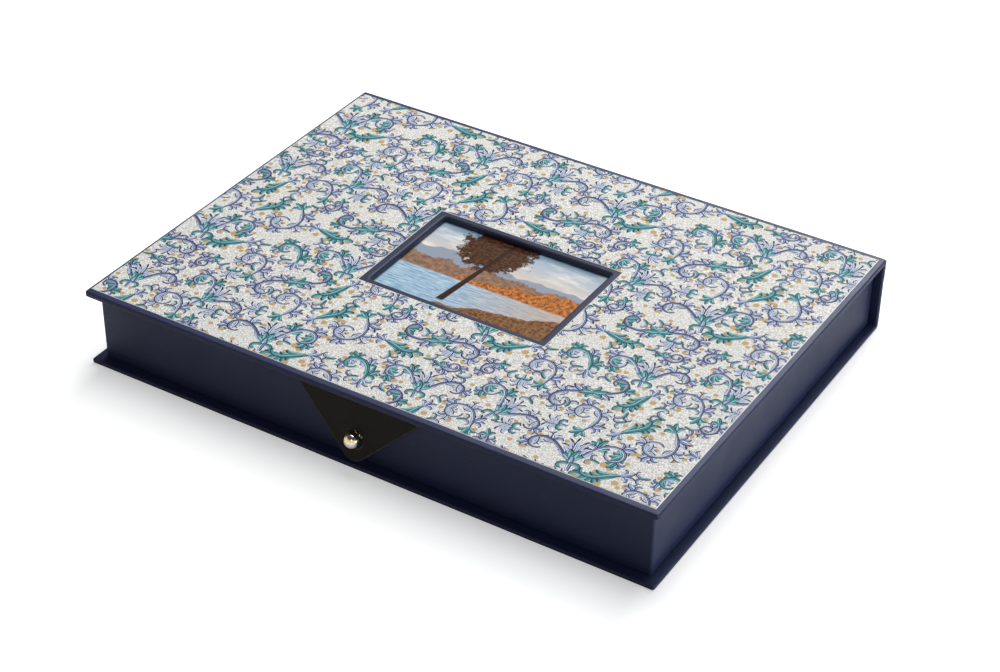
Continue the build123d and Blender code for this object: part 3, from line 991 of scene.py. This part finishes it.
class Motif:
    """Shapes of one motif in drawing order, as (ink, outline), and discs (x, y, radius) that cover it."""

    def __init__(self):
        """Start empty; below holds the gold discs that are drawn first."""
        self.shapes, self.samples, self.below = [], [], []

    def blade(self, x, y, heading, length, bends, width, family, shape="hook"):
        """One leaf, lobe or stem: a dark outline, the fill, a vein on the outer side and a light streak."""
        count = int(np.clip(length / 1.05, 6, 26))
        line, turn = centre_line(x, y, heading, length, bends, count)
        t = np.linspace(0, 1, count)
        half = width / 2 * width_profile(shape, t)
        dark, fill, pale = families[family]
        shade = -np.sign(np.mean(bends)) or 1.0
        self.shapes.append((dark, ribbon(line, turn, half + line_width, 0.31 * shade * np.ones(count))))
        self.shapes.append((fill, ribbon(line, turn, half)))
        if width > streak_from:
            part = slice(1, max(4, int(count * 0.86)))
            inner = half[part]
            swell = np.sin(np.linspace(0.15, 1, len(inner)) * math.pi * 0.95)
            self.shapes.append((dark, ribbon(line[part], turn[part], 0.25 * swell, shade * inner * 0.30)))
            if shape == "hook":
                tip = max(2, int(round(count * 0.28)))
                end = slice(-tip, None)
                deep = half[end] * np.linspace(0.2, 0.6, tip)
                self.shapes.append((dark, ribbon(line[end], turn[end], deep, shade * (half[end] - deep))))
            streak = inner * 0.30 * swell ** 0.5
            self.shapes.append((pale, ribbon(line[part], turn[part], streak, -shade * inner * 0.42)))
        self.samples += [(p[0], p[1], h + 0.3) for p, h in zip(line, half)]

    def dot(self, x, y, radius):
        """A slightly uneven gold disc."""
        a = np.linspace(0, 2 * math.pi, 12, endpoint=False)
        r = radius * (1 + 0.06 * np.sin(3 * a + x))
        self.shapes.append(("gold", np.stack([x + r * np.cos(a), y + r * np.sin(a)], -1)))
        self.samples.append((x, y, radius))

    def at(self, path, t, out=0.0):
        """A point at share t of a path, out to its left, and the path's heading there in degrees."""
        line, turn = path
        i = t * (len(line) - 1)
        k = int(min(i, len(line) - 2))
        p = line[k] + (line[k + 1] - line[k]) * (i - k)
        h = turn[k] + (turn[k + 1] - turn[k]) * (i - k)
        return p[0] - math.sin(h) * out, p[1] + math.cos(h) * out, math.degrees(h)

    def feather(self, path, side, first, last, count, long, short, width, family, angle=19, gold=2.1):
        """Lobes along one side of a path, from its far end back, each leaving along it, hooking outward."""
        for k in range(count)[::-1]:
            share = k / max(count - 1, 1)
            t = first + (last - first) * share
            length = 1.25 * (long + (short - long) * share)
            x, y, h = self.at(path, t)
            if gold and k % 2 == 0:
                between = min(t + 0.62 * (last - first) / max(count - 1, 1), 1)
                self.below.append((*self.at(path, between, side * (1.2 + 0.38 * length))[:2], gold))
            bends = (side * -30, side * 10, side * 288)
            self.blade(x, y, h + side * angle, length, bends, 1.32 * width, family)

    def fan(self, x, y, heading, spread, count, length, width, family, curl=1.5):
        """A palmette: lobes spread from one point, the middle one longest, the outer ones hooking down."""
        order = sorted(range(count), key=lambda k: -abs(2 * k - count + 1))
        for k in order:
            share = 2 * k / (count - 1) - 1
            away = spread / 2 * share
            bends = (-away * 0.9, away * 0.4, away * curl * 3 + 20)
            reach = length * (1.06 - 0.25 * share * share)
            self.blade(x, y, heading + away, reach, bends, 1.22 * width, family)

    def scroll(self, x, y, heading, length, bends, width, family, lobes, reach, lobe_family=None, head="teal",
               head_size=7.0):
        """A stem that winds into a spiral: leafy tufts along it, and a palmette that fills its eye."""
        side = -np.sign(np.mean(bends))
        path = centre_line(x, y, heading, length, bends, max(12, int(length / 1.4)))
        if head:
            hx, hy, h = self.at(path, 0.66, 0.0)
            self.fan(hx, hy, h - side * 58, 104, 5, 1.05 * head_size, 1.95, head, 1.5)
            self.below.append((*self.at(path, 0.66, -side * 2.6)[:2], 1.7))
        leaf = lobe_family or family
        tufts = max(3, lobes // 2 + 1)
        for k in range(tufts)[::-1]:
            t = 0.11 + 0.66 * k / (tufts - 1)
            size = reach * (1.02 - 0.36 * t)
            tint = leaf if k % 2 == 0 or head is None else head
            px, py, h = self.at(path, t)
            self.below.append((*self.at(path, t + 0.08, side * 0.62 * size)[:2], 2.4))
            self.fan(px, py, h + side * 36, 88, 4, 1.12 * size, 2.15, tint, 1.3)
            self.blade(px, py, h + side * 98, 0.85 * size, (side * -60, side * 90, side * 420), 2.0, leaf)
            if 0 < k < tufts - 1:
                self.fan(px, py, h - side * 34, 56, 3, 0.72 * size, 1.9, head or leaf, 1.4)
        self.blade(x, y, heading, length, bends, 0.85 * width, family, "horn")


def build(kind):
    """The shapes of one kind of motif, in millimetres and degrees, drawn from the back to the front."""
    m = Motif()
    if kind == "plant":
        m.scroll(-0.5, 0, 128, 56, (-70, 40, 420, 640, 700), 2.0, "blue", 6, 9.5, head_size=7.5)
        m.scroll(0.5, 0, 50, 44, (60, -60, -420, -760), 1.8, "purple", 5, 8.5, "blue", "pale", 6.5)
        m.below += [(-3.2, 8, 1.9), (3.2, 8.5, 1.9), (0.4, 14, 1.7), (-4.6, 13, 1.6), (4.6, 14, 1.6)]
        m.fan(0, 6, 92, 84, 5, 15, 2.1, "pale", 1.5)
        m.fan(0, 2, 92, 96, 4, 9.5, 2.6, "teal", 1.8)
        m.blade(0, -7, 84, 12, (40, -40), 2.2, "blue", "stem")
        m.blade(-0.3, -1, 160, 9, (60, 190, 430), 2.2, "teal")
        m.blade(0.3, -1, 20, 9, (-60, -190, -430), 2.2, "teal")
    elif kind == "wave":
        m.scroll(0, 0, -30, 46, (60, -120, -400, -820), 1.9, "purple", 6, 9, "blue", "pale", 6.5)
        m.scroll(0, 0, 150, 42, (40, -140, -440, -880), 1.9, "purple", 5, 8.5, "blue", head_size=6.5)
        m.below += [(2.4, 1.8, 1.8), (-2.6, -1.8, 1.8)]
        m.fan(1.0, -0.4, 150, 84, 3, 11, 2.5, "teal", 1.9)
        m.fan(-1.0, 0.4, -30, 84, 3, 9, 2.5, "teal", 1.9)
    elif kind == "leaf_scroll":
        m.scroll(0, 0, 70, 44, (0, 160, 460, 800), 2.8, "teal", 6, 9, head="blue", head_size=6.0)
        m.fan(0, 0.6, 250, 150, 5, 8.5, 1.8, "blue", 1.8)
    elif kind == "acanthus":
        path = centre_line(0, 0, 60, 27, (90, 0, -160, -560), 18)
        m.feather(path, 1, 0.08, 0.74, 5, 10.5, 7.5, 2.3, "teal")
        m.feather(path, -1, 0.14, 0.60, 4, 9.0, 6.5, 2.1, "teal", 24, 1.6)
        m.blade(0, 0, 60, 27, (90, 0, -160, -560), 2.2, "teal", "horn")
        m.fan(0, 0.4, 238, 130, 4, 7.5, 1.8, "blue", 1.8)
    elif kind == "scroll":
        m.scroll(0, 0, 80, 54, (0, -260, -480, -700), 1.9, "blue", 7, 9, head="pale")
        m.fan(0, 0.5, 262, 130, 4, 8.0, 2.1, "teal", 1.8)
    elif kind == "small_scroll":
        m.scroll(0, 0, 80, 30, (0, -360, -620, -980), 1.5, "blue", 4, 6.6, head=None)
        m.fan(0, 0.4, 262, 130, 3, 6.0, 1.8, "teal", 1.8)
    elif kind == "comma":
        path = centre_line(0, 0, 60, 21, (0, 190, 620), 14)
        m.feather(path, -1, 0.08, 0.72, 4, 8.5, 6.0, 2.1, "teal")
        m.feather(path, 1, 0.10, 0.40, 2, 6.5, 5.0, 1.8, "teal", 22, 0)
        m.blade(0, 0, 60, 21, (0, 190, 620), 2.2, "teal", "horn")
        m.fan(0, 0.3, 235, 120, 3, 6.4, 1.7, "blue", 1.8)
    elif kind == "tuft":
        m.below += [(2.4, 2.6, 1.7), (-2.4, 2.6, 1.7)]
        m.fan(0, 0, 90, 130, 5, 10.0, 2.0, "pale", 1.7)
        m.blade(0, -5.2, 84, 6.2, (30, -30), 1.2, "blue", "stem")
        m.blade(0.2, -1.2, 30, 7.0, (-40, -190, -430), 1.8, "teal")
        m.blade(-0.2, -1.2, 150, 7.0, (40, 190, 430), 1.8, "teal")
    elif kind == "sprig":
        m.below += [(1.4, 1.8, 1.3)]
        m.blade(0, 0, 60, 7.5, (60, -140, -400), 1.6, "blue")
        m.blade(0, 0, 118, 7.5, (-40, 140, 400), 1.6, "pale")
        m.blade(0, -3.4, 84, 6.6, (20, 20), 1.5, "teal", "leaf")
    elif kind == "dot":
        m.dot(0, 0, 1.5)
    below = Motif()
    for x, y, r in m.below:
        below.dot(x, y, r)
    m.shapes = below.shapes + m.shapes
    m.samples += below.samples
    return m


def to_cell(x, y):
    """Where a point falls in the repeat, whose rows are each shifted by half of its width."""
    row = np.floor(y / repeat_y)
    return (x - row * repeat_x / 2) % repeat_x, y - row * repeat_y


def place_shape(points, place, angle, flip, size, middle):
    """Points taken from their middle, mirrored where flip is -1, scaled, turned and moved to place."""
    p = (points - middle) * [flip * size, size]
    c, s = math.cos(angle), math.sin(angle)
    return np.stack([p[:, 0] * c - p[:, 1] * s, p[:, 0] * s + p[:, 1] * c], -1) + place


def pack(plan, seed=11, per_mm=2.0, tries=900):
    """Place motifs one by one in the repeat, each in the best of many tried spots that no other touches."""
    chance = np.random.default_rng(seed)
    w, h = int(repeat_x * per_mm), int(round(repeat_y * per_mm))
    taken = np.zeros((h, w), bool)
    near = np.zeros((h, w), bool)
    centre = np.array([repeat_x / 4, repeat_y / 2])

    def grid_spots(x, y):
        """The grid's rows and columns under some points."""
        cx, cy = to_cell(x, y)
        return np.minimum((cy * per_mm).astype(int), h - 1), np.minimum((cx * per_mm).astype(int), w - 1)

    def stamp(grid, discs, grow):
        """Mark the discs on a grid, each wider by grow."""
        for x, y, r in discs:
            reach = r + grow
            n = int(math.ceil(reach * per_mm))
            oy, ox = np.mgrid[-n:n + 1, -n:n + 1] / per_mm
            keep = ox ** 2 + oy ** 2 <= reach ** 2
            grid[grid_spots(x + ox[keep], y + oy[keep])] = True

    placed = []
    for kind, low, high, amount in plan:
        discs = np.array(build(kind).samples)
        middle = (discs[:, :2].max(0) + discs[:, :2].min(0)) / 2
        for _ in range(amount):
            best = None
            for _ in range(tries):
                place = chance.uniform([0, 0], [repeat_x, repeat_y])
                angle = math.radians(chance.uniform(low, high))
                flip = chance.choice([-1, 1])
                size = chance.uniform(*motif_sizes)
                spots = place_shape(discs[:, :2], place, angle, flip, size, middle)
                under = grid_spots(spots[:, 0], spots[:, 1])
                if taken[under].any():
                    continue
                like = [to_cell(*(place - other[1] + centre)) for other in placed if other[0] == kind]
                apart = min((math.hypot(*(np.array(at) - centre)) for at in like), default=60.0)
                score = near[under].mean() - 0.8 * max(0.0, 1 - apart / like_motifs_apart)
                if best is None or score > best[0]:
                    discs_there = np.column_stack([spots, discs[:, 2] * size])
                    best = (score, (kind, place, angle, flip, size, middle), discs_there)
            if best:
                stamp(taken, best[2], motif_gap)
                stamp(near, best[2], motif_halo)
                placed.append(best[1])
    return placed


plan = [("plant", -40, 40, 3), ("wave", -180, 180, 2), ("scroll", -180, 180, 4),
        ("leaf_scroll", -180, 180, 4), ("acanthus", -180, 180, 5), ("small_scroll", -180, 180, 7),
        ("comma", -180, 180, 8), ("tuft", -180, 180, 10), ("sprig", -180, 180, 20), ("dot", 0, 1, 40)]


def motif_triangles(kind):
    """A motif's triangles by ink, cut where shapes cross; the shape drawn last is the one that shows."""
    points, outlines, tops = [], [], []
    for ink, shape in build(kind).shapes:
        after = np.roll(shape, -1, axis=0)
        if (shape[:, 0] * after[:, 1] - shape[:, 1] * after[:, 0]).sum() < 0:
            shape = shape[::-1]
        outlines.append(list(range(len(points), len(points) + len(shape))))
        points += [Vector(point) for point in shape.tolist()]
        tops.append(ink)
    places, _, faces, _, _, sources = geometry.delaunay_2d_cdt(points, [], outlines, 1, 1e-5, True)
    places = np.array([point[:] for point in places])
    by_ink = {}
    for face, source in zip(faces, sources):
        if source:
            by_ink.setdefault(tops[max(source)], []).append(face)
    return places, {ink: np.array(found) for ink, found in by_ink.items()}


band_triangles = 170000
ink_lift = 0.016
ink_step = 0.0006
ink_levels = 8
turned_reach = 1.6


def print_pieces():
    """Flat pieces for each ink, repeated over the paper and trimmed, side by side if triangles are many."""
    placed = pack(plan)
    cut = {kind: motif_triangles(kind) for kind in {entry[0] for entry in placed}}
    half = np.array([paper_width / 2, paper_depth / 2])
    centre = np.array([paper_x, paper_y])
    points = {ink: [] for ink in inks}
    faces = {ink: [] for ink in inks}
    counts = dict.fromkeys(inks, 0)
    for number, (kind, place, angle, flip, size, middle) in enumerate(placed):
        places, by_ink = cut[kind]
        reach = np.abs(places - middle).max() * turned_reach
        for row in range(-3, 4):
            for column in range(-3, 4):
                shift = np.array([(column + row / 2) * repeat_x, row * repeat_y])
                if (np.abs(place + shift - centre) > half + reach).any():
                    continue
                turned = place_shape(places, place + shift, angle, flip, size, middle)
                height = lid_high + paper_thickness + ink_lift + ink_step * (number % ink_levels)
                flat = np.column_stack([turned, np.full(len(turned), height)])
                for ink, found in by_ink.items():
                    used, again = np.unique(found, return_inverse=True)
                    tris = again.reshape(found.shape) + counts[ink]
                    faces[ink].append(tris[:, ::-1] if flip < 0 else tris)
                    points[ink].append(flat[used])
                    counts[ink] += len(used)
    made = []
    for ink in inks:
        every, triangles = np.concatenate(points[ink]), np.concatenate(faces[ink])
        bands = 1 + len(triangles) // band_triangles
        place = every[triangles[:, 0], 0]
        band = np.searchsorted(np.quantile(place, np.arange(1, bands) / bands), place)
        for number in range(bands):
            used, again = np.unique(triangles[band == number], return_inverse=True)
            name = "print_" + ink + (f"_{number + 1}" if bands > 1 else "")
            obj = mesh_object(name, every[used], again.reshape(-1, 3).tolist(), False)
            trim(obj, centre, half - print_margin)
            places = np.empty(len(obj.data.vertices) * 3)
            obj.data.vertices.foreach_get("co", places)
            obj.data.vertices.foreach_set("co", (on_lid(places.reshape(-1, 3) / MM) * MM).ravel())
            obj.data.update()
            made.append((ink, obj))
    return made


def trim(obj, centre, half):
    """Cut a flat piece to the paper's outline, and cut the window's opening out of it."""
    shell = bmesh.new()
    shell.from_mesh(obj.data)
    open_x, open_y = cutout_half_x + print_margin, cutout_half_y + print_margin
    for x, y, half_x, half_y, clear in ((*centre, *half, True), (cutout_x, cutout_y, open_x, open_y, False)):
        for way in ((1, 0), (-1, 0), (0, 1), (0, -1)):
            bmesh.ops.bisect_plane(
                shell, geom=shell.verts[:] + shell.edges[:] + shell.faces[:], dist=1e-8, clear_outer=clear,
                plane_co=((x + half_x * way[0]) * MM, (y + half_y * way[1]) * MM, 0), plane_no=(*way, 0),
            )
    inside = []
    for face in shell.faces:
        x, y, _ = face.calc_center_median() / MM
        if abs(x - cutout_x) < open_x and abs(y - cutout_y) < open_y:
            inside.append(face)
    bmesh.ops.delete(shell, geom=inside, context="FACES")
    bmesh.ops.triangulate(shell, faces=shell.faces[:])
    shell.to_mesh(obj.data)
    shell.free()


for ink, piece in print_pieces():
    finish_piece(piece, "lid", printing_ink(ink), "printed_paper")


# ======================================================================================
# Materials of the CAD nodes that stay
# ======================================================================================
for material, nodes in (
    (board_grey, "base_board spine_board lid_board tray_floor_board"),
    (board_grey, "tray_front_wall tray_back_wall tray_left_wall tray_right_wall"),
    (board_grey, "pocket_spacer_front pocket_spacer_back pocket_spacer_left"),
    (pocket_paper, "pocket_board"),
    (cream_paper, "wall_lining floor_lining lid_lining"),
    (metal, "stud_screw"),
    (landscape_print(), "picture_card"),
):
    for node in nodes.split():
        slots = frame["nodes"][node].data.materials
        slots.clear()
        slots.append(material)


# ======================================================================================
# Floor, light and camera
# ======================================================================================
def floor_material():
    """White to the eye with the box's shadow on it; greyer in reflections and to diffuse light."""
    made, tree, shader, coords = new_material("studio_floor")
    rays = tree.nodes.new("ShaderNodeLightPath")
    direct = math_node(tree, "MAXIMUM", rays.outputs["Is Camera Ray"], rays.outputs["Is Transmission Ray"])
    tone = mix_colour(tree, rays.outputs["Is Glossy Ray"], (0.12, 0.12, 0.12, 1.0), (0.90, 0.90, 0.90, 1.0))
    surface(tree, shader, mix_colour(tree, direct, tone, (0.90, 0.90, 0.90, 1.0)), 1.0, 0.0)
    away = add(tree, "ShaderNodeVectorMath", {"operation": "LENGTH"}, i0=coords.outputs["Object"])
    lit = math_node(tree, "MULTIPLY", direct, spread(tree, away.outputs["Value"], 0.6, 1.6, 0.45, 0.8))
    glow = math_node(tree, "MULTIPLY_ADD", rays.outputs["Is Glossy Ray"], 0.12, lit)
    tree.links.new(glow, shader.inputs["Emission Strength"])
    shader.inputs["Emission Color"].default_value = (1.0, 1.0, 1.0, 1.0)
    return made


floor_half = 4000.0
corners = [(floor_half * x, floor_half * y, 0) for x, y in ((-1, -1), (1, -1), (1, 1), (-1, 1))]
floor = mesh_object("studio_floor", corners, [(0, 1, 2, 3)])
floor.data.materials.append(floor_material())


def area_light(name, place, aim, size, strength, colour=(1.0, 1.0, 1.0)):
    """A soft rectangular lamp. strength is the light it gives a white surface that faces it at the aim."""
    lamp = bpy.data.lights.new(name, "AREA")
    lamp.shape = "RECTANGLE"
    lamp.size, lamp.size_y = size
    lamp.color = colour
    away = np.array(place) - np.array(aim)
    distance = np.linalg.norm(away)
    lamp.energy = strength * math.pi * math.pi * distance ** 2
    obj = bpy.data.objects.new(name, lamp)
    obj.location = place
    obj.rotation_euler = Vector(away.tolist()).to_track_quat("Z", "Y").to_euler()
    bpy.context.scene.collection.objects.link(obj)


lid_centre = (0.0, 0.0, 0.04)
area_light("softbox_above", (0.0, 0.45, 1.7), lid_centre, (1.1, 1.1), 0.67)
area_light("softbox_right", (2.0, 0.05, 0.22), (0.16, 0.0, 0.02), (1.4, 0.30), 0.37, (0.80, 0.91, 1.0))
area_light("softbox_behind", (-0.10, 1.9, 1.30), lid_centre, (0.9, 0.7), 0.66)
area_light("softbox_front", (0.75, -1.5, 1.1), (0.0, -0.13, 0.02), (0.35, 0.35), 0.05)


def studio_world():
    """White to the eye; dim to diffuse light; in reflections a warm band at the horizon under a dark room."""
    world = bpy.data.worlds.new("studio")
    bpy.context.scene.world = world
    world.use_nodes = True
    tree = world.node_tree
    rays = tree.nodes.new("ShaderNodeLightPath")
    heading = tree.nodes.new("ShaderNodeTexCoord")
    split = add(tree, "ShaderNodeSeparateXYZ", None, Vector=heading.outputs["Generated"])
    low = spread(tree, split.outputs["Z"], 0.34, 0.62, 1.0, 0.0)
    band = math_node(tree, "MULTIPLY", low, spread(tree, split.outputs["Y"], -0.35, 0.0, 1.0, 0.0))
    room = mix_colour(tree, band, (0.08, 0.08, 0.085, 1.0), (0.95, 0.68, 0.30, 1.0))
    dim = mix_colour(tree, rays.outputs["Is Glossy Ray"], (0.075, 0.078, 0.082, 1.0), room)
    clear = mix_colour(tree, rays.outputs["Is Transmission Ray"], dim, (1.0, 1.0, 1.0, 1.0))
    white = mix_colour(tree, rays.outputs["Is Camera Ray"], clear, (1.0, 1.0, 1.0, 1.0))
    tree.links.new(white, tree.nodes["Background"].inputs["Color"])


studio_world()

camera_lens = 81.615
camera_place = (0.5071, -0.8264, 0.6893)
camera_turn = (54.801, -0.673, 31.736)
camera = bpy.data.cameras.new("camera")
camera.sensor_width = 36.0
camera.lens = camera_lens
camera.clip_end = 30.0
camera_object = bpy.data.objects.new("camera", camera)
camera_object.location = camera_place
camera_object.rotation_euler = [math.radians(angle) for angle in camera_turn]
bpy.context.scene.collection.objects.link(camera_object)
bpy.context.scene.camera = camera_object
bpy.context.scene.view_settings.view_transform = "Standard"
